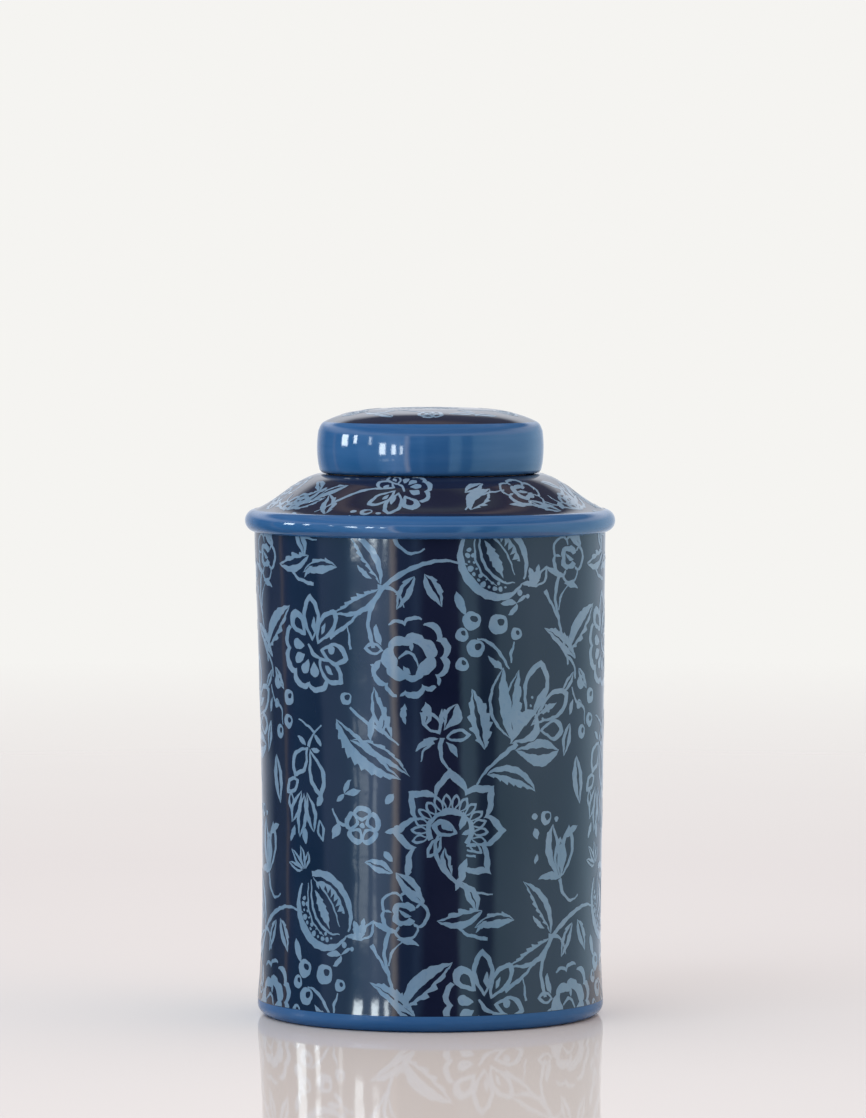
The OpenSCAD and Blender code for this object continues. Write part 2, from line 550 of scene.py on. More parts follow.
# A mesh into a tidy piece: doubles merged, folded faces gone, all faces outward.
def tidied(name, mesh, material):
    work = bmesh.new()
    work.from_mesh(mesh)
    bmesh.ops.remove_doubles(work, verts=work.verts, dist=turning["weld"] * mm)
    bmesh.ops.dissolve_degenerate(work, edges=work.edges, dist=turning["weld"] * mm)
    bmesh.ops.recalc_face_normals(work, faces=work.faces)
    work.to_mesh(mesh)
    work.free()
    mesh.polygons.foreach_set("use_smooth", np.ones(len(mesh.polygons), bool))
    mesh.materials.append(material)
    piece = bpy.data.objects.new(name, mesh)
    scene.collection.objects.link(piece)
    return piece


# The wall's outer radius: it flares below the waist with a cube, and swells above it with a gentler power.
def wallRadius(height):
    below = np.maximum(0, waist["height"] - height) / (waist["height"] - footTop)
    climb = np.minimum(height, bead["foot"]) - waist["height"]
    above = np.maximum(0, climb) / (bead["foot"] - waist["height"])
    return (waist["radius"] + (waist["foot"] - waist["radius"]) * below ** waist["flare"]
            + (waist["top"] - waist["radius"]) * above ** waist["belly"])


# The shoulder's height at a radius: half a straight slope and half a soft S, from the wall to the seat.
def shoulderHeight(radius):
    u = np.clip((radius - shoulder["seat"]) / (waist["top"] - shoulder["seat"]), 0, 1) ** shoulder["power"]
    return seatTop - (seatTop - shoulder["edge"]) * (u + 3 * u ** 2 - 2 * u ** 3) / 2


# The lid's dome is nearly flat in the middle, and falls away to its edge as the radius to the fourth power.
def domeHeight(radius):
    return lidTop["apex"] - (lidTop["apex"] - lidTop["edge"]) * (radius / lidTop["radius"]) ** 4


tops = {node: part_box(node)[1].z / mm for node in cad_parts}
feet = {node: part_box(node)[0].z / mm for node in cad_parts}
footTop = tops["foot_ring"]
seatTop = 297.2
# the foot's bare rim runs from inside to outside, with a roll on one side and a slant on the other
foot = {"inside": 84.5, "outside": 88.5, "roll": 6.5, "rollArc": (-84, 0), "back": 81.2,
        "soften": 1.0, "softenArc": (186, 264, 5)}
shoulder = {"seat": 61.0, "edge": 277.6, "power": 1.1, "under": 6.5, "inner": 90.3, "seatInner": 54.5,
            "rows": 26}
bead = {"radius": 6.2, "centre": 95.4, "height": 271.6, "foot": 265.4, "rows": 26}
neck = {"outer": 54.5, "inner": 49.5, "lip": 2.0, "rows": 7}
lidTop = {"radius": 58.0, "edge": 325.8, "rim": 320.8, "apex": tops["lid_top"], "clay": 5.0, "rest": 3.0,
          "rows": 30}
print("heights:", tops)


def makeJar():
    heights = np.arange(footTop, tops["wall"], turning["step"])
    heights = np.append(heights, tops["wall"])
    outer = np.stack([wallRadius(heights), heights], 1)
    inner = np.stack([wallRadius(np.maximum(heights, waist["height"])) - waist["clay"], heights], 1)[::-1]
    lathe("jarWall", "wall", "jar", navyGlaze, np.vstack([outer, inner]))

    low, high = feet["floor"], tops["floor"]
    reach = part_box("floor")[1].x / mm
    lathe("jarFloor", "floor", "jar", innerGlaze,
          line((0, low), (reach, low), (reach, high), (0, high)), step=turning["coarseStep"])

    rim, outside, roll, soften = foot["inside"], foot["outside"], foot["roll"], foot["soften"]
    lathe("footRing", "foot_ring", "jar", footGlaze, np.vstack([
        line((rim, 0), (outside, 0)), arc((outside, roll), roll, *foot["rollArc"]),
        line((waist["foot"], footTop), (foot["back"], footTop), (rim - soften, soften)),
        arc((rim, soften), soften, *foot["softenArc"])]), step=turning["fineStep"])

    radii = np.linspace(waist["top"], shoulder["seat"], shoulder["rows"])
    slope = np.stack([radii, shoulderHeight(radii)], 1)
    inside = radii[radii < shoulder["inner"]][::-1]
    under = np.stack([inside, shoulderHeight(inside) - shoulder["under"]], 1)
    lathe("jarShoulder", "shoulder", "jar", navyGlaze, np.vstack([
        line((waist["top"], bead["height"])), slope,
        line((shoulder["seatInner"], seatTop), (shoulder["seatInner"], seatTop - shoulder["under"])),
        under, line((shoulder["inner"], bead["height"]))]))

    reach = math.degrees(math.acos((waist["top"] - bead["centre"]) / bead["radius"]))
    lathe("shoulderBead", "shoulder_bead", "jar", blueGlaze,
          arc((bead["centre"], bead["height"]), bead["radius"], -reach, reach, bead["rows"]),
          step=turning["fineStep"])

    lip = neck["lip"]
    top = tops["neck"]
    lathe("jarNeck", "neck", "jar", clay, np.vstack([
        line((neck["inner"], feet["neck"]), (neck["outer"], feet["neck"])),
        arc((neck["outer"] - lip, top - lip), lip, 0, 90, neck["rows"]),
        arc((neck["inner"] + lip, top - lip), lip, 90, 180, neck["rows"])]))


# The lid's side is three arcs: centre, radius, the angles where they start and stop, and their rows.
lidSide = {
    "bore": 57.2, "ledge": 58.0,
    "lower": ((57.9, 300.7), 3.2, -90, -22.5, 12),
    "bulge": ((0.2, 311.65), 62.0, -8.5, 8.5, 14),
    "corner": ((55.63, 320.95), 5.4, 16.5, 64, 12),
}


def makeLid():
    side = np.vstack([
        line((lidSide["bore"], feet["lid_side"])),
        arc(*lidSide["lower"]), arc(*lidSide["bulge"]), arc(*lidSide["corner"]),
        line((lidSide["ledge"], lidTop["edge"]), (lidSide["ledge"], lidTop["rim"]),
             (lidSide["bore"], lidTop["rim"]))])
    lathe("lidSide", "lid_side", "lid", blueGlaze, side)
    radii = np.linspace(0, lidTop["radius"], lidTop["rows"])
    ledge = lidTop["radius"] - lidTop["rest"]
    outside = np.stack([radii, domeHeight(radii)], 1)
    below = radii[radii < ledge][::-1]
    inside = np.stack([below, domeHeight(below) - lidTop["clay"]], 1)
    lathe("lidTop", "lid_top", "lid", navyGlaze, np.vstack([
        outside, line((lidTop["radius"], lidTop["rim"]), (ledge, lidTop["rim"])), inside]))


makeJar()
makeLid()
print("jar and lid ready")


# The print is drawn flat in millimetres with complex numbers: the real part runs round the jar, the
# imaginary part runs up it. A shape is two edges of equal length and whether they close into a ring;
# its surface lies between them. A motif is a list of shapes about its own middle.
drawing = {
    "sawDepth": 0.34,                                    # share of a half width that a tooth cuts away
    "leastBend": 0.1,                                    # degrees; a straight shape is bent by this much
    "wander": 0.24, "tremble": 0.07,                     # a hand's unevenness, by long and short waves
    # points along each kind of edge
    "stroke": 26, "petal": 22, "perTooth": 5, "petalLine": 20, "leaf": 64, "dot": 9, "berry": 24, "band": 180,
}


def steps(count):
    return np.linspace(0, 1, count)


# 0 at both ends of a shape and 1 at its widest: a half wave of sine, shifted towards the tip by fullest
# above 1 and made blunter by roundness below 1.
def belly(t, fullest=1.0, roundness=1.0):
    return np.sin(math.pi * t ** fullest).clip(0) ** roundness


# Teeth along an edge: the width shrinks by the depth, grows back over each tooth, and drops again.
def saw(t, count):
    return 1 - drawing["sawDepth"] * (1 - np.mod(count * t, 1)) if count else 1 + 0 * t


# Bends a straight shape: its middle line becomes an arc that turns by so many degrees over its length.
def bow(x, y, bend, length):
    least = drawing["leastBend"]
    curl = math.radians(bend if abs(bend) > least else least) / length
    turn = np.exp(1j * curl * x)
    return (turn - 1) / (1j * curl) + 1j * y * turn


# Catmull-Rom: a smooth line through given points.
def route(points, count):
    p = np.array(points, complex)
    p = np.concatenate([[2 * p[0] - p[1]], p, [2 * p[-1] - p[-2]]])
    t = steps(count) * (len(p) - 3)
    k = t.astype(int).clip(max=len(p) - 4)
    f = t - k
    a, b, c, d = p[k], p[k + 1], p[k + 2], p[k + 3]
    square = 2 * a - 5 * b + 4 * c - d
    cube = 3 * b - a - 3 * c + d
    return (2 * b + (c - a) * f + square * f ** 2 + cube * f ** 3) / 2


# A brush stroke: a line with half its width on either side of it.
def stroke(points, *widths, count=drawing["stroke"]):
    middle = route(points, count)
    slope = np.gradient(middle)
    side = 1j * slope / np.abs(slope) * np.interp(steps(count), steps(len(widths)), widths) / 2
    return [(middle + side, middle - side, False)]


def petal(length, width, bend=0, fullest=1.0, roundness=1.0, teeth=0):
    t = steps(max(drawing["petal"], teeth * drawing["perTooth"]))
    half = width / 2 * belly(t, fullest, roundness) * saw(t, teeth)
    return [(bow(t * length, half, bend, length), bow(t * length, -half, bend, length), False)]


# A petal that is only its outline: an outer loop, and an inner one that leaves the line's width.
def petalLine(length, width, weight, bend=0, fullest=1.0, roundness=1.0):
    count = drawing["petalLine"]
    up = steps(count)
    t = np.concatenate([up, up[-2:0:-1]])
    side = np.concatenate([np.ones(count), -np.ones(count - 2)])
    full = side * belly(t, fullest, roundness)
    inset = weight * 1.1
    outer = bow(t * length, full * width / 2, bend, length)
    inner = bow(inset + t * (length - 2.4 * inset), full * (width / 2 - weight), bend, length)
    return [(outer, inner, True)]


# A leaf of two halves with a bare slit between them. The slit may lean to one side, and either margin
# may have teeth.
def leaf(length, width, bend=0, slit=0.25, lean=0.0, teeth=(0, 8), fullest=0.9):
    t = steps(drawing["leaf"])
    full = width / 2 * belly(t, fullest)
    gap = width / 2 * slit * belly(t, fullest) * belly(t, 1.0, 0.5)
    shapes = []
    for side, count in zip((1, -1), teeth):
        rim = side * full * saw(t, count)
        edge = lean * full + side * gap
        shapes.append((bow(t * length, rim, bend, length), bow(t * length, edge, bend, length), False))
    return shapes


def dot(where, radius):
    turn = np.exp(1j * math.pi * steps(drawing["dot"]))
    return [(where + radius * turn, where + radius * np.conj(turn), False)]


# A berry: a disc with a bare hole that sits off its middle.
def berry(where, radius, hole=0.38, off=0.25 + 0.2j):
    turn = np.exp(2j * math.pi * np.arange(drawing["berry"]) / drawing["berry"])
    return [(where + radius * turn, where + radius * (off + hole * turn), True)]


# A band round the middle between two radii that change with the angle.
def band(outer, inner, start=0, stop=360, count=drawing["band"]):
    whole = abs(stop - start) >= 360
    angle = np.radians(np.linspace(start, stop, count, endpoint=not whole))
    return [(outer(angle) * np.exp(1j * angle), inner(angle) * np.exp(1j * angle), whole)]


# 1 at the tip of each of so many points round the middle, and 0 between them; sharp below 1 hollows them
def pointed(angle, count, sharp=0.8):
    return 1 - np.abs(np.sin(count * angle / 2)) ** sharp


# 1 on each of so many round lobes, with narrow notches between them
def lobed(angle, count, blunt=0.6):
    return np.abs(np.sin(count * angle / 2)) ** blunt


# A copy of some shapes, sized, turned in degrees and moved.
def put(shapes, where=0, turn=0, size=1.0):
    spin = size * np.exp(1j * math.radians(turn))
    return [(where + spin * a, where + spin * b, ring) for a, b, ring in shapes]


# A hand's unevenness: every point wanders by a fraction of a millimetre, by waves of two lengths.
def byHand(shapes):
    def wander(z):
        x, y = z.real, z.imag
        wave = np.sin(0.83 * y + 1.7 * np.sin(0.41 * x)) + 1j * np.sin(0.92 * x + 1.9 * np.sin(0.37 * y))
        shake = np.sin(2.1 * y + x) + 1j * np.sin(2.3 * x - y)
        return z + drawing["wander"] * wave + drawing["tremble"] * shake

    return [(wander(a), wander(b), ring) for a, b, ring in shapes]


# Copies of some shapes that point outward from the middle, all at one distance from it.
def fan(shapes, turns, reach):
    return [s for turn in turns for s in put(shapes, reach * np.exp(1j * math.radians(turn)), turn)]


def daisy():
    shapes = put(petalLine(25, 12, 2.3, fullest=1.15, roundness=0.8), 4j, 93)
    shapes += put(petalLine(22, 11, 2.2, bend=-12, fullest=1.2, roundness=0.7), 3 + 3j, 60)
    shapes += put(petalLine(16, 11, 3.0, bend=10, fullest=1.5, roundness=0.55), -5 + 7j, 128)
    skirt = lambda a: 19.5 + 3.2 * lobed(a - 0.35, 9, 0.5)
    shapes += band(skirt, lambda a: skirt(a) - 3.4 + 0.5 * np.sin(3 * a), 146, 300, 90)
    shapes += put(petalLine(20, 12, 2.1, bend=14, fullest=1.1, roundness=0.8), 4 - 4j, 312)
    shapes += put(petalLine(18, 12, 2.1, bend=-10, fullest=1.2, roundness=0.8), 5 + 0j, 350)
    shapes += fan(petal(8.6, 5.6, fullest=1.5, roundness=0.6), (168, 205, 240, 274), 6.2)
    shapes += put(petal(8, 3.0), 1 + 9j, 90) + put(petal(6.5, 2.4), 6 + 8j, 66)
    shapes += put(petal(7, 2.8), 8 - 8j, 314) + dot(12 + 0j, 2.1)
    shapes += stroke([-3 + 3j, 0 - 2j, 5 - 5j], 1.0, 2.4, 1.0, count=12)
    return shapes


def carnation():
    shapes = band(lambda a: 14.0 + 2.2 * lobed(a, 7) + 1.4 * np.sin(a * 2 + 1),
                  lambda a: 8.2 + 2.2 * pointed(a, 5, 0.9) + 1.3 * np.sin(a * 3))
    frill = lambda a: 22.0 + 3.4 * lobed(a, 11, 0.5) + 0.8 * np.sin(2 * a)
    for start, stop, weight in ((-44, 66, 4.4), (72, 122, 2.6), (190, 252, 3.2), (256, 312, 4.2)):
        shapes += band(frill, lambda a: frill(a) - weight * (0.35 + 0.65 * belly(
            (a - math.radians(start)) / math.radians(stop - start), 1, 0.5)), start, stop, 80)
    shapes += stroke([-7 - 1j, -2 + 3j, 3 + 1j, 5 - 5j], 0.8, 2.2, 2.0, 0.7)
    shapes += put(petal(7, 2.8, bend=30), -4 - 5j, 300) + put(petal(6, 2.4), 1 + 4j, 80)
    shapes += put(petalLine(13, 8, 1.8, bend=20), -16 + 4j, 164)
    shapes += put(petal(14, 4.4, bend=-36), -17 + 7j, 122)
    shapes += put(petal(13, 3.8, bend=34), -17 - 1j, 222)
    shapes += put(petal(13, 5.0, bend=40, teeth=3), -3 - 28j, 250)
    shapes += put(petal(10, 3.8, bend=-30), 9 - 27j, 300)
    return shapes


def pomegranate():
    tall = 1.20                                            # the fruit is taller than it is wide

    def rind(start, stop, *widths):
        turn = np.radians(np.linspace(start, stop, 9))
        return stroke(17.5 * (np.cos(turn) + 1j * tall * np.sin(turn)), *widths, count=44)

    shapes = rind(108, 290, 1.0, 3.4, 4.8, 4.6, 3.4, 0.8) + rind(76, -62, 3.0, 4.4, 3.8, 2.8, 0.8)
    inner = lambda a: 13.6 * np.hypot(np.cos(a), tall * np.sin(a))
    shapes += band(inner, lambda a: inner(a) - 3.6 * np.mod(-a * 3.4, 1) - 1.0, -38, 74, 90)
    shapes += stroke([2 + 18j, -4 + 8j, -6 - 2j, -3 - 12j, 3 - 17j], 0.6, 1.7, 1.4, 0.6)
    shapes += stroke([-1 + 18j, -8 + 7j, -9.5 - 3j, -6.5 - 12j], 0.5, 1.2, 1.0, 0.4)
    shapes += stroke([4 + 18j, 7 + 8j, 7.5 - 3j, 5 - 13j], 0.5, 1.2, 1.1, 0.5)
    shapes += put(petal(23, 6.6, bend=-10, teeth=6), 1.5 + 12j, -92)
    for row, (radius, count, size) in enumerate(((13.6, 11, 1.15), (11.0, 8, 0.8))):
        for k in range(count):
            turn = math.radians(128 + 142 * (k + 0.5 * row) / count)
            big = 1 + 0.45 * math.sin(2.4 * k + row)
            shapes += dot(radius * complex(math.cos(turn), tall * math.sin(turn)), size * big)
    for turn, length in ((128, 13), (100, 15), (70, 13), (42, 10)):
        crown = leaf(length, 4.4, slit=0.3, teeth=(0, 0))
        shapes += put(crown, 24j + 2 * np.exp(1j * math.radians(turn)), turn)
    return shapes


def lily():
    shapes = put(leaf(40, 13, bend=-52, slit=0.34, lean=0.40, teeth=(0, 0)), -2 - 2j, 122)
    shapes += put(leaf(35, 11, bend=-26, slit=0.30, lean=0.45, teeth=(0, 4)), 0 + 0j, 98)
    shapes += put(petalLine(37, 17, 2.4, bend=12, fullest=1.5, roundness=0.8), 7 + 4j, 68)
    shapes += put(petalLine(33, 15, 2.3, bend=-10, fullest=1.6, roundness=0.75), 10 + 4j, 36)
    shapes += put(petalLine(18, 12, 2.2, bend=-20, fullest=1.5, roundness=0.7), 16 + 1j, 8)
    shapes += put(leaf(24, 21, bend=18, slit=0.26, lean=-0.28, teeth=(4, 0), fullest=1.3), -3 - 5j, 40)
    shapes += put(leaf(31, 15, bend=26, slit=0.26, lean=0.1, teeth=(0, 0), fullest=1.2), 0 - 8j, -16)
    shapes += put(petal(17, 4.0, bend=-20), 12 + 12j, 62) + put(petal(14, 3.4, bend=-20), 16 + 10j, 34)
    for k in range(16):
        shapes += dot(15.5 + 13j + (1.8 + 0.42 * k) * np.exp(2.4j * k), 0.75)
    return shapes


def lotus():
    tall = lambda a: 1 + 0.10 * np.sin(a) ** 2
    outer = lambda a: (21.0 + 6.0 * lobed(a - 0.4, 8, 0.45) + 5.6 * pointed(a - 0.4 - math.pi / 8, 8, 0.5)
                       + 1.4 * np.sin(2 * a)) * tall(a)
    shapes = band(outer, lambda a: outer(a) * 0.855 - 0.2, -84, 226, 300)
    shapes += fan(petalLine(9.6, 4.9, 1.15, fullest=1.2, roundness=0.8), range(-32, 208, 16), 11.6)
    shapes += band(lambda a: 13.0 + 0.5 * np.sin(5 * a), lambda a: 10.2 + 0.7 * np.sin(3 * a), -34, 200, 60)
    shapes += put(petalLine(15, 9.5, 2.2, bend=16, fullest=1.3, roundness=0.7), 4 - 1j, 152)
    shapes += put(petal(7.5, 3.4), 1 + 1j, 148)
    shapes += put(petalLine(14, 7, 1.7, bend=-20), -5 - 2j, 246)
    shapes += put(petal(11, 3.6, bend=30), 5 + 1j, 62) + put(petal(8, 3.0, bend=-20), 6 - 1j, 20)
    for k in range(3):
        shapes += stroke([9 - 7j - 2.6j * k, 14 - 7.5j - 2.9j * k], 1.0, 1.4, count=6)
    shapes += stroke([-6 + 1j, -8 - 9j, -4 - 19j, 4 - 27j, 13 - 32j, 24 - 34j],
                     1.2, 2.2, 2.6, 2.4, 1.8, 0.7, count=44)
    shapes += put(leaf(16, 6.2, bend=-26, slit=0.2, teeth=(0, 3)), 1 - 23j, 118)
    shapes += put(petal(14, 4.4, bend=-34), 6 - 27j, 92)
    shapes += put(petal(12, 5.0, bend=-10, teeth=2), -24 + 3j, 200)
    return shapes


def rosebud():
    shapes = put(leaf(15, 11, bend=12, slit=0.2, lean=0.2, teeth=(3, 0), fullest=1.3), 0 + 1j, 58)
    shapes += put(petalLine(15, 9, 1.8, bend=30, roundness=0.8), -2 - 1j, 118)
    shapes += put(petalLine(13, 7, 1.6, bend=-24, roundness=0.8), 1 - 3j, 18)
    shapes += put(petal(14, 4.2, bend=40, teeth=2), -3 - 3j, 190)
    shapes += put(petal(10, 3.4, bend=-30), 1 - 5j, -38) + put(petal(8, 2.2), -1 + 4j, 92)
    shapes += stroke([-1 - 3j, -2 - 9j, 0 - 16j, 5 - 21j], 2.8, 2.2, 1.5, 0.6)
    shapes += stroke([-5 - 5j, -10 - 9j, -12 - 15j], 1.8, 1.2, 0.6, count=14)
    return shapes


def columbine():
    shapes = put(petalLine(21, 13, 2.3, bend=22, fullest=1.1), 3 + 22j, 224)
    shapes += put(petalLine(28, 12, 2.5, bend=-14, fullest=1.2), 4 + 21j, -66)
    shapes += put(petalLine(14, 9, 2.2, bend=24), -5 + 4j, 204)
    for turn, length, bend in ((238, 20, 10), (263, 25, -6), (289, 22, -12)):
        shapes += put(leaf(length, 8.4, bend=bend, slit=0.40, teeth=(0, 0), fullest=1.1),
                      2j + 5 * np.exp(1j * math.radians(turn)), turn)
    shapes += put(petalLine(10, 6, 1.6), -12 - 3j, 268) + put(petal(8, 4.4), 13 - 3j, 244)
    shapes += put(petalLine(12, 5.6, 1.6, bend=10), 11 - 17j, 276) + put(petal(9, 4.6, bend=20), 0 - 22j, 262)
    shapes += put(petal(10, 4.4, bend=-20, teeth=2), -9 - 21j, 254)
    shapes += stroke([3 + 22j, 7 + 29j, 13 + 34j], 2.2, 1.5, 0.8, count=14)
    shapes += stroke([8 + 30j, 4 + 33j, -4 + 37j], 1.7, 1.4, 0.7, count=14) + put(petal(8, 3.0), 8 + 29j, -52)
    shapes += put(petal(8, 3.4, bend=30), 1 + 23j, 132) + put(petal(7, 2.8), 5 + 21j, -8)
    return shapes


def smallFlower(reach=8.6, petals=5, tilt=18):
    turns = tilt + 360 / petals * np.arange(petals)
    outline = petalLine(reach * 0.86, reach, reach * 0.19, fullest=1.5, roundness=0.5)
    return fan(outline, turns, reach * 0.20) + dot(0, reach * 0.14)


def littleFlower():
    shapes = smallFlower(9.4)
    shapes += put(petal(7, 3.8), 12 + 11j, 50) + put(petal(7, 3.4), 11 - 12j, -48)
    shapes += stroke([-8 + 0j, -13 + 1j, -17 + 8j], 1.4, 1.8, 0.8, count=14)
    shapes += put(petal(9, 5.0, bend=-20), -13 + 1j, 252)
    return shapes


def wildRose():
    frill = lambda a: 11.2 + 2.8 * lobed(a - 0.5, 5, 0.55) + 0.7 * np.sin(3 * a)
    shapes = band(frill, lambda a: frill(a) - 2.0 - 0.5 * np.sin(2 * a))
    shapes += band(lambda a: 5.6 + 1.5 * lobed(a, 4), lambda a: 3.2 + 1.0 * pointed(a, 3), 20, 330, 60)
    shapes += fan(petal(4.2, 1.5), (30, 100, 172, 246, 318), 6.8)
    shapes += put(petal(8, 2.6, bend=30), -3 + 2j, -40)
    shapes += put(petal(10, 3.0, bend=20), -9 - 10j, 136) + put(petal(13, 3.6, bend=-34), -4 - 14j, 4)
    return shapes


def berrySpray():
    shapes = []
    for where, radius in ((-12 + 11j, 4.8), (2 + 9j, 5.2), (12 + 4j, 3.2), (-17 + 4j, 3.4), (-10 - 3j, 4.6),
                          (-17 - 11j, 3.4)):
        shapes += berry(where, radius)
    shapes += stroke([8 - 14j, 3 - 6j, -3 + 0j, -9 + 2j], 0.8, 2.0, 1.6, 0.7)
    shapes += stroke([9 - 11j, 9 - 6j, 11 + 0j], 0.7, 1.8, 0.7, count=14)
    shapes += put(petal(11, 4.2, bend=-20, teeth=2), 5 - 14j, 150)
    shapes += put(petal(13, 4.8, bend=-12), -15 + 14j, 118)
    return shapes


def sideBerries():
    shapes = []
    for where, radius in ((-4 + 14j, 3.9), (7 + 6j, 4.4), (-6 + 2j, 2.6), (6 - 7j, 4.0), (-3 - 13j, 3.8)):
        shapes += berry(where, radius)
    shapes += stroke([-13 + 12j, -9 + 4j, -1 + 0j, 0 - 9j], 0.8, 1.8, 1.4, 0.6)
    return shapes + put(petal(9, 3.2), -12 + 5j, 250)


def tulip():
    shapes = put(petalLine(19, 8.5, 1.6, fullest=1.2), -9j, 90)
    shapes += put(leaf(26, 9, bend=-36, slit=0.34, lean=-0.2, teeth=(0, 0), fullest=1.2), -9j, 120)
    shapes += put(petalLine(25, 9.5, 2.1, bend=34, fullest=1.3), -9j, 60)
    shapes += put(petal(11, 3.2), -4j, 90) + put(petal(15, 2.6, bend=24), -7j, 74)
    shapes += put(petal(15, 4.4, bend=50, teeth=2), 1 - 9j, 152) + put(petal(10, 3.2, bend=-30), 4 + 9j, 46)
    shapes += stroke([-9j, 2 - 15j, 8 - 19j, 14 - 17j], 2.4, 1.7, 1.2, 0.6)
    return shapes


def smallTulip():
    shapes = put(petal(11, 5.6, bend=-10, teeth=3), 0, 122) + put(petal(12, 5.0, bend=10, teeth=3), 0, 84)
    shapes += put(petalLine(13, 6, 1.4, bend=24), 0, 52)
    return shapes + put(petal(9, 3.4, bend=36, teeth=2), 0, 156) + dot(-9 - 4j, 1.5) + dot(-4 - 5j, 1.2)


def leafPair():
    shapes = put(leaf(26, 11, bend=-30, slit=0.30, teeth=(0, 4)), 0, 208)
    shapes += put(leaf(19, 7, bend=46, slit=0.12, teeth=(0, 0)), -3 - 1j, 96)
    shapes += put(leaf(24, 9, bend=40, slit=0.24, lean=-0.2, teeth=(0, 3)), 19 - 6j, 168)
    return shapes + put(petal(9, 3.4, bend=24, teeth=3), 3 - 6j, 212)


def outlineLeafPair():
    shapes = put(leaf(31, 11, bend=-34, slit=0.46, lean=0.05, teeth=(0, 7)), -1 - 1j, 224)
    shapes += put(leaf(36, 10, bend=36, slit=0.40, lean=0.1, teeth=(8, 0)), 0 + 1j, 106)
    shapes += put(petal(11, 3.4, bend=-30, teeth=2), -5 + 4j, 152)
    return shapes + stroke([-2 + 0j, 5 - 1j, 10 - 5j, 12 - 11j], 2.2, 1.9, 1.3, 0.6, count=16)


def plume():
    shapes = put(leaf(46, 13, bend=44, slit=0.30, lean=0.35, teeth=(0, 10)), -21 + 12j, -62)
    shapes += put(leaf(36, 7.5, bend=-40, slit=0.34, lean=0.1, teeth=(6, 0)), -13 + 2j, -10)
    shapes += put(leaf(27, 8.5, bend=-24, slit=0.36, lean=0.2, teeth=(0, 5)), 9 + 3j, 122)
    shapes += put(petal(15, 3.6, bend=-30), -2 + 1j, 96)
    shapes += stroke([12 + 0j, 3 + 7j, -6 + 12j, -13 + 18j], 0.8, 1.8, 1.6, 1.0)
    return shapes + berry(-15 + 22j, 3.2, hole=0.5)


def sprig():
    shapes = put(petal(11, 4.0, bend=20), 0, 204) + put(petal(10, 3.4, bend=-60), 0, -70)
    return shapes + put(petal(8, 2.6), 0, 62)


def drops():
    shapes = berry(0, 3.9, hole=0.5) + dot(8 - 1j, 1.5) + dot(-8 + 1j, 1.8) + dot(2 - 9j, 1.2)
    return shapes + put(petal(7, 3.8), -8 - 5j, -70) + put(petal(6, 2.6), -6 - 19j, -100)


# The print's repeat on the wall: a motif, its bearing in degrees, its height, its turn and its size.
wallMotifs = [
    (daisy, -42, 205, 0, 1.04), (carnation, -7, 202, 0, 0.88),
    (pomegranate, -39, 64, 34, 1.0), (lily, 28, 160, 0, 1.0),
    (lotus, 6, 108, 0, 1.0), (rosebud, 4, 162, 0, 1.05), (plume, -19, 155, 0, 1.10),
    (columbine, -47, 130, 0, 1.0), (littleFlower, -23.5, 111, 0, 1.1),
    (wildRose, -9, 64, 0, 1.0), (berrySpray, 21, 210, 0, 1.06),
    (sideBerries, -59, 172, 0, 1.0), (tulip, 48, 91, 0, 1.22),
    (drops, 41, 114, 0, 1.0), (leafPair, 17, 66, 0, 1.0),
    (outlineLeafPair, 44, 50, 0, 1.0), (smallTulip, 36, 239, -8, 1.05),
    (sprig, 29, 231, -30, 0.9), (sprig, -30, 128, 160, 0.9),
]
# Single leaves: bearing, height, turn, length, width, bend, slit, lean and teeth.
wallLeaves = [
    (17.5, 152, 96, 34, 14, 12, 0.18, 0.15, (5, 7)), (18, 139, 6, 33, 11, -50, 0.24, 0.1, (0, 7)),
    (56, 146, -84, 27, 10, 6, 0.22, 0.1, (0, 0)), (-9, 13, 54, 37, 14, -22, 0.22, -0.2, (0, 5)),
    (55, 199, 128, 31, 9, 34, 0.10, 0.2, (0, 9)), (57, 194, -62, 15, 6, 20, 0.20, 0, (0, 0)),
    (54, 192, 236, 15, 5, -20, 0.20, 0, (0, 0)), (-13, 86, 150, 17, 7, 20, 0.16, 0, (0, 0)),
    (-12, 86, -38, 24, 9, -24, 0.16, 0.1, (0, 0)), (-15, 172, -110, 12, 6, 20, 0.1, 0, (3, 0)),
    (52, 164, 250, 18, 7, 10, 0.25, 0, (0, 0)), (-2, 178, -80, 13, 6, -20, 0.12, 0, (0, 3)),
    (-5, 246, -128, 21, 8, 20, 0.26, 0, (0, 3)), (-2, 247, -52, 20, 9, -20, 0.2, 0, (3, 0)),
]
# Stems: their widths, then bearing and height of each point.
wallStems = [
    ((2.4, 2.0, 2.6, 2.8, 1.8, 0.8), ((-19, 207), (-20.5, 222), (-16, 238), (-7, 249), (3, 254), (12, 252))),
    ((0.8, 1.8, 2.8), ((-21.5, 229), (-28, 219), (-35, 212))),
    ((0.6, 1.6), ((-28, 219), (-27, 206))),
    ((0.7, 1.6, 2.2, 3.0), ((14, 131), (18, 141), (24, 149), (29, 155))),
    ((2.6, 2.0, 1.8, 1.6, 1.6, 1.2), ((-14, 55), (-15.5, 43), (-14, 32), (-12.5, 23), (-10, 12), (-9, 6))),
    ((2.2, 1.6, 1.4), ((-20, 47), (-17, 39), (-13.8, 30))),
    ((0.6, 1.4, 1.0), ((-9.5, 49), (-13, 43), (-13.8, 36))),
    ((1.0, 1.8, 1.6, 1.4), ((47, 206), (51, 200), (54, 196), (55, 188))),
    ((0.7, 1.7, 2.0), ((-52, 248), (-48, 243), (-41, 240))),
]
# Where the repeat comes again: so many degrees on and so far down, and three times round in all. The
# print starts a margin above the foot and runs on under the bead.
wallRepeat = {"turn": 60.0, "drop": 190.0, "round": 120.0, "margin": 0.3, "underBead": 2.0}
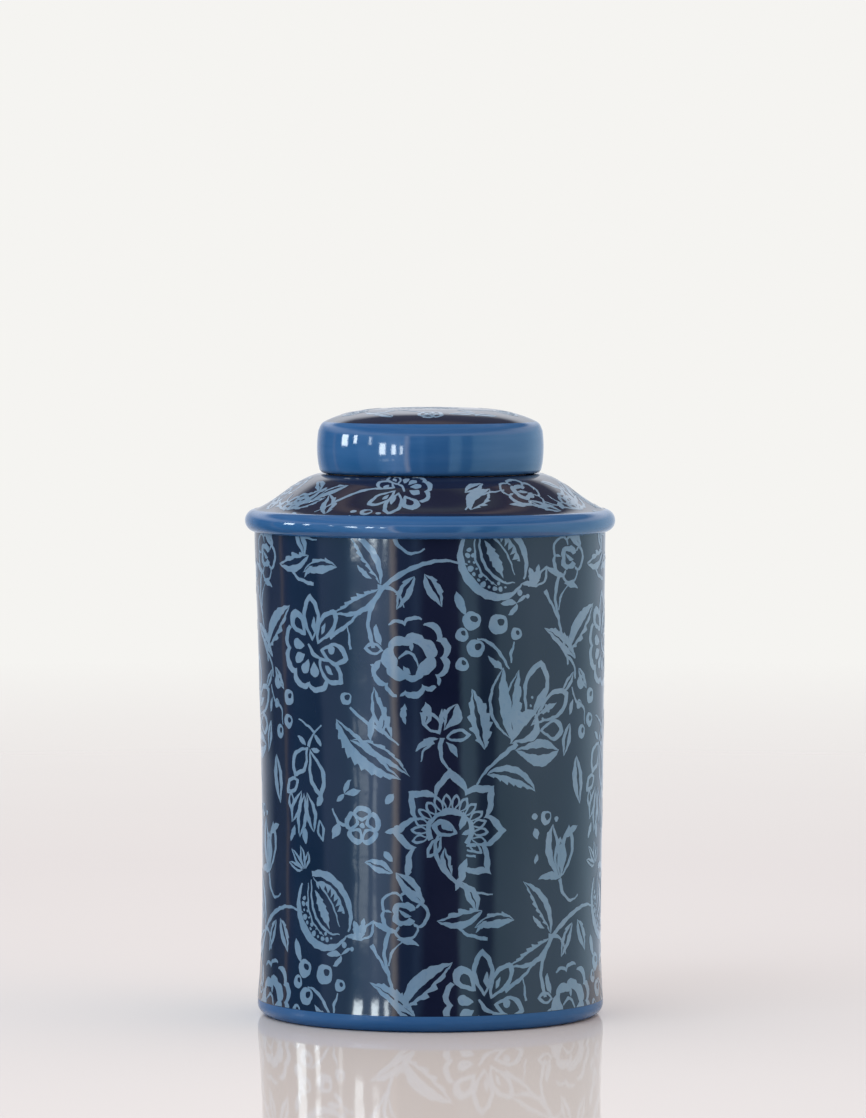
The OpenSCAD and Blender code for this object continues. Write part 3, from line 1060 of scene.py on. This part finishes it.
# The shoulder's print: as for the wall, with the distance up the slope as the height.
shoulderMotifs = [
    (daisy, -12, 26, 170, 0.80), (leafPair, -50, 24, 30, 0.85), (wildRose, 40, 22, 20, 0.95),
    (littleFlower, 62, 12, 0, 0.8), (drops, -22, 5, 0, 0.8),
]
shoulderLeaves = [
    (14, 8, 62, 24, 12, -30, 0.34, -0.2, (0, 5)), (-37, 2, 100, 20, 9, 30, 0.3, 0, (0, 4)),
    (24, 30, 200, 16, 7, 20, 0.2, 0, (0, 0)), (-58, 6, 20, 22, 8, 20, 0.3, 0, (0, 5)),
    (50, 4, 150, 18, 8, -20, 0.3, 0, (4, 0)),
]
shoulderStems = [
    ((0.7, 1.8, 2.0, 0.8), ((-42, 4), (-36, 16), (-28, 24), (-20, 26))),
    ((0.7, 1.6, 0.8), ((12, 8), (20, 20), (32, 24))), ((0.7, 1.6, 0.8), ((46, 14), (54, 8), (62, 4))),
]


# A surface takes flat points and a lift off the clay, all in millimetres, to places in metres.
def onWall(flat, lift):
    return turned(wallRadius(flat.imag) + lift, flat.real / printRadius["wall"], flat.imag)


# Up the shoulder the imaginary part is the distance from its foot, measured along a straight slope.
def onShoulder(flat, lift):
    radius = waist["top"] - flat.imag * (waist["top"] - shoulder["seat"]) / slopeLength
    return turned(radius, flat.real / printRadius["shoulder"], shoulderHeight(radius) + lift)


# On the lid the flat sheet is seen from above, with its imaginary part towards the back.
def onLid(flat, lift):
    radius = np.abs(flat)
    return turned(radius, np.angle(flat) + math.pi / 2, domeHeight(radius) + lift, turning["wobble"]["lid"])


shoulderRepeat = {"times": 3, "margin": 0.3, "underLid": 0.5}
# The lid's print: a flower in the middle, and leaves, small flowers and stems in turn round it.
lidRepeat = {
    "middle": -3, "middleTurn": 20, "size": 0.62,
    "times": 5, "start": 18,                             # degrees
    "leaves": 41, "leafTurn": 70,
    "flowers": 43, "petal": 7.0,
    "stem": ((30, 0), (33, 0.3), (38, 0.5)),             # distance from the middle and radians onward
    "stemWidths": (0.6, 1.6, 0.8), "stemPoints": 16,
}
slopeLength = math.hypot(waist["top"] - shoulder["seat"], seatTop - shoulder["edge"])
printRadius = {"wall": 94.0, "shoulder": 78.0}
printSheet = {
    "lift": 0.055, "layer": 0.003, "layers": 24,     # overlapping shapes lie a hair above one another
    "depth": 0.16,                                   # how far the print's underside is inside the clay
    "cross": 4.0,                                    # widest stretch of a shape between two edges of its grid
    "nudge": 0.05,                                   # for finding which way a surface faces
}


# Shapes into one closed thin shell each: a grid between the two edges, again below it, and sides where
# a quad has no neighbour. Points past the limits are drawn back to them, and quads wholly past them go.
def printShell(shapes, low, high):
    flats, lifts, quads, start = [], [], [], 0
    for number, (first, second, ring) in enumerate(shapes):
        heights = np.concatenate([first, second]).imag
        if heights.min() > high or heights.max() < low:
            continue
        across = max(1, math.ceil(np.abs(first - second).max() / printSheet["cross"]))
        grid = first + (second - first) * (np.arange(across + 1) / across)[:, None]
        count = len(first)
        i, j = (k.ravel() for k in np.meshgrid(np.arange(across), np.arange(count if ring else count - 1),
                                               indexing="ij"))
        after = (j + 1) % count
        faces = np.stack([i * count + j, i * count + after, (i + 1) * count + after, (i + 1) * count + j], 1)
        flat = grid.ravel()
        inside = (flat.imag > low) & (flat.imag < high)
        faces = faces[inside[faces].any(1)]
        flats.append(flat.real + 1j * flat.imag.clip(low, high))
        layer = number % printSheet["layers"]
        lifts.append(np.full(flat.shape, printSheet["lift"] + printSheet["layer"] * layer))
        quads.append(faces + start)
        start += len(flat)
    flat, lift, top = np.concatenate(flats), np.concatenate(lifts), np.vstack(quads)
    size = len(flat)
    edges = np.stack([top, np.roll(top, -1, axis=1)], -1).reshape(-1, 2)
    lonely = edges[~np.isin(edges[:, 0] * size + edges[:, 1], edges[:, 1] * size + edges[:, 0])]
    a, b = lonely.T
    sides = np.stack([b, a, a + size, b + size], 1)
    under = np.full(size, -printSheet["depth"])
    return np.tile(flat, 2), np.concatenate([lift, under]), np.vstack([top, top[:, ::-1] + size, sides])


# Which way the bare surface faces at flat points: across its slopes along both parts.
def facing(surface, flat):
    nudge = printSheet["nudge"]
    along = surface(flat + nudge, 0) - surface(flat - nudge, 0)
    up = surface(flat + 1j * nudge, 0) - surface(flat - 1j * nudge, 0)
    normal = np.cross(along, up)
    return normal / np.linalg.norm(normal, axis=1)[:, None]


def printPiece(name, body, shapes, surface, low=-math.inf, high=math.inf):
    flat, lift, faces = printShell(shapes, low, high)
    used = np.unique(faces)
    place = np.zeros(len(flat), int)
    place[used] = np.arange(len(used))
    flat, lift, faces = flat[used], lift[used], place[faces]
    mesh = bpy.data.meshes.new(name)
    mesh.from_pydata(surface(flat, lift).tolist(), [], faces.tolist())
    for attribute, values in (("across", flat.real), ("up", flat.imag), ("top", lift > 0)):
        mesh.attributes.new(attribute, "FLOAT", "POINT").data.foreach_set("value", values.astype(np.float32))
    piece = tidied(name, mesh, printGlaze)
    smoothPrint(piece.data, surface)
    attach(piece, body)
    return piece


# The print's upper faces take the bare surface's own directions, so that what it mirrors runs on
# evenly from glaze to print; its thin sides keep theirs.
def smoothPrint(mesh, surface):
    def values(name):
        found = np.zeros(len(mesh.vertices), np.float32)
        mesh.attributes[name].data.foreach_get("value", found)
        return found

    corners = np.zeros(len(mesh.loops), int)
    mesh.loops.foreach_get("vertex_index", corners)
    starts = np.zeros(len(mesh.polygons), int)
    mesh.polygons.foreach_get("loop_start", starts)
    totals = np.zeros(len(mesh.polygons), int)
    mesh.polygons.foreach_get("loop_total", totals)
    flatNormals = np.zeros(len(mesh.polygons) * 3)
    mesh.polygons.foreach_get("normal", flatNormals)
    normals = np.repeat(flatNormals.reshape(-1, 3), totals, axis=0)
    isTop = np.repeat(np.minimum.reduceat(values("top")[corners], starts) > 0.5, totals)
    flat = values("across") + 1j * values("up")
    normals[isTop] = facing(surface, flat)[corners[isTop]]
    mesh.normals_split_custom_set(normals.tolist())
    for name in ("across", "up", "top"):
        mesh.attributes.remove(mesh.attributes[name])


def spot(degrees, height, radius):
    return math.radians(degrees) * radius + 1j * height


def gathered(motifs, leaves, stems, radius):
    shapes = []
    for motif, degrees, height, turn, size in motifs:
        shapes += put(motif(), spot(degrees, height, radius), turn, size)
    for degrees, height, turn, length, width, bend, slit, lean, teeth in leaves:
        shapes += put(leaf(length, width, bend, slit, lean, teeth), spot(degrees, height, radius), turn)
    for widths, points in stems:
        shapes += stroke([spot(*point, radius) for point in points], *widths, count=40)
    return byHand(shapes)


# The wall's print comes in three sheets. One repeat is drawn again a sixth of the way round and one drop
# down, and again a sixth back and one drop up.
def printWall():
    radius = printRadius["wall"]
    cell = gathered(wallMotifs, wallLeaves, wallStems, radius)
    across, drop = wallRepeat["turn"], wallRepeat["drop"]
    column = [s for k in (-1, 0, 1) for s in put(cell, spot(k * across, -k * drop, radius))]
    low = footTop + wallRepeat["margin"]
    high = bead["foot"] + wallRepeat["underBead"]
    for number, letter in enumerate("ABC"):
        sheet = put(column, spot(number * wallRepeat["round"], 0, radius))
        printPiece("printWall" + letter, "jar", sheet, onWall, low, high)


def printShoulder():
    radius = printRadius["shoulder"]
    cell = gathered(shoulderMotifs, shoulderLeaves, shoulderStems, radius)
    times = shoulderRepeat["times"]
    around = [s for k in range(times) for s in put(cell, spot(k * 360 / times, 0, radius))]
    high = slopeLength - shoulderRepeat["underLid"]
    printPiece("printShoulder", "jar", around, onShoulder, shoulderRepeat["margin"], high)


def printLid():
    size = lidRepeat["size"]
    step = 360 / lidRepeat["times"]
    shapes = put(lotus(), lidRepeat["middle"], lidRepeat["middleTurn"], size)
    for k in range(lidRepeat["times"]):
        turn = step * k + lidRepeat["start"]
        spin = np.exp(1j * math.radians(turn))
        between = spin * np.exp(1j * math.radians(step / 2))
        shapes += put(leafPair(), lidRepeat["leaves"] * spin, turn + lidRepeat["leafTurn"], size)
        shapes += put(smallFlower(lidRepeat["petal"]), lidRepeat["flowers"] * between, turn)
        stem = [reach * spin * np.exp(1j * onward) for reach, onward in lidRepeat["stem"]]
        shapes += stroke(stem, *lidRepeat["stemWidths"], count=lidRepeat["stemPoints"])
    printPiece("printLid", "lid", byHand(shapes), onLid)


printWall()
printShoulder()
printLid()
print("print ready")
